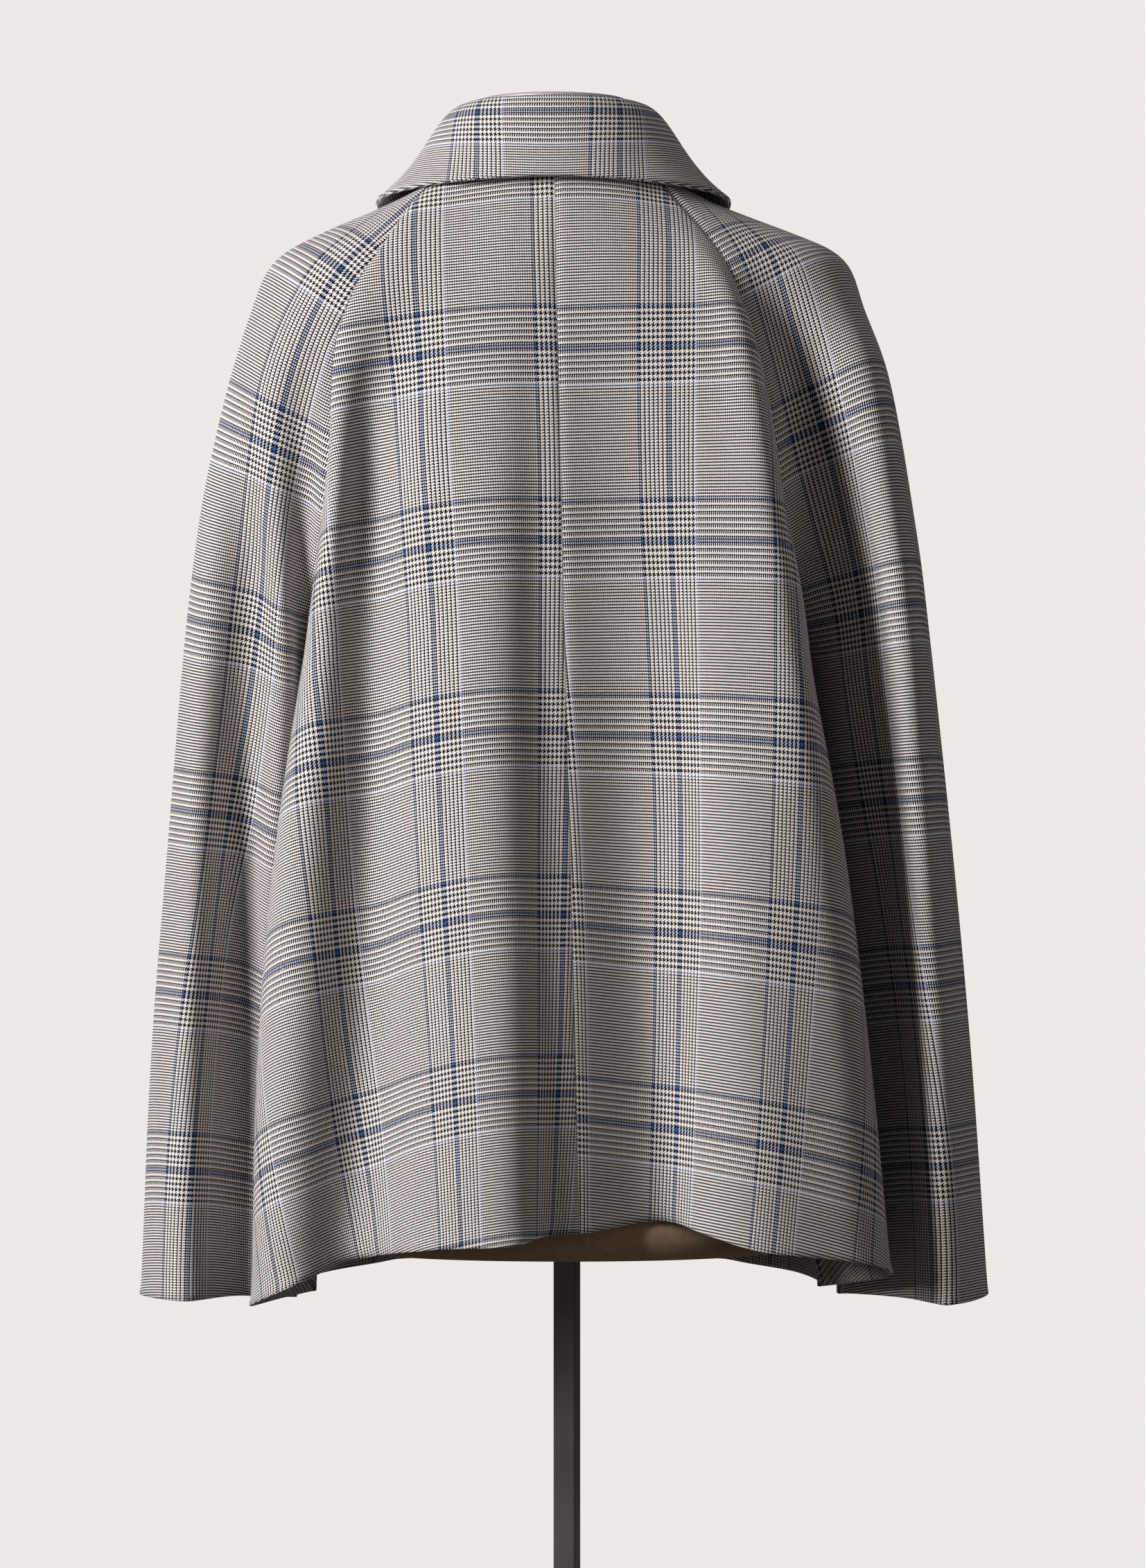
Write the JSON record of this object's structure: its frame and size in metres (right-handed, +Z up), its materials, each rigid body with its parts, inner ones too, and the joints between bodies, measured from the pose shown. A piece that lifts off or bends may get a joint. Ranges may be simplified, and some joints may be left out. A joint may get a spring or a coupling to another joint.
{
  "type": "short coat on a limbless dress form",
  "caption": "Short flared wool coat with raglan sleeves and a turned-down collar, buttoned on a limbless dress form with pole and base plate.",
  "frame": {"origin": "on the floor, under the axis of the stand's pole, at the base plate's underside", "axes": "+Z up along the pole, +Y towards the coat's front, +X towards the wearer's right; the coat's back faces -Y"},
  "size_m": [0.5618, 0.3588, 1.4803],
  "materials": {
    "wool_check": "napped wool twill in a small black and white glen check with blue lines",
    "dark_button": "semi-gloss",
    "linen": "plain-woven linen",
    "brushed_steel": "brushed in circles",
    "black_steel": "satin black paint"
  },
  "bodies": {
    "root": {"back_left": "wool_check", "back_right": "wool_check", "front_left": "wool_check", "front_right": "wool_check", "sleeve_left": "wool_check", "sleeve_right": "wool_check", "collar_stand": "wool_check", "collar_leaf": "wool_check", "button_1": "dark_button", "button_2": "dark_button", "button_3": "dark_button", "button_4": "dark_button", "form_torso": "linen", "neck_cap": "brushed_steel", "pole": "black_steel", "base_plate": "black_steel"}
  },
  "joints": []
}
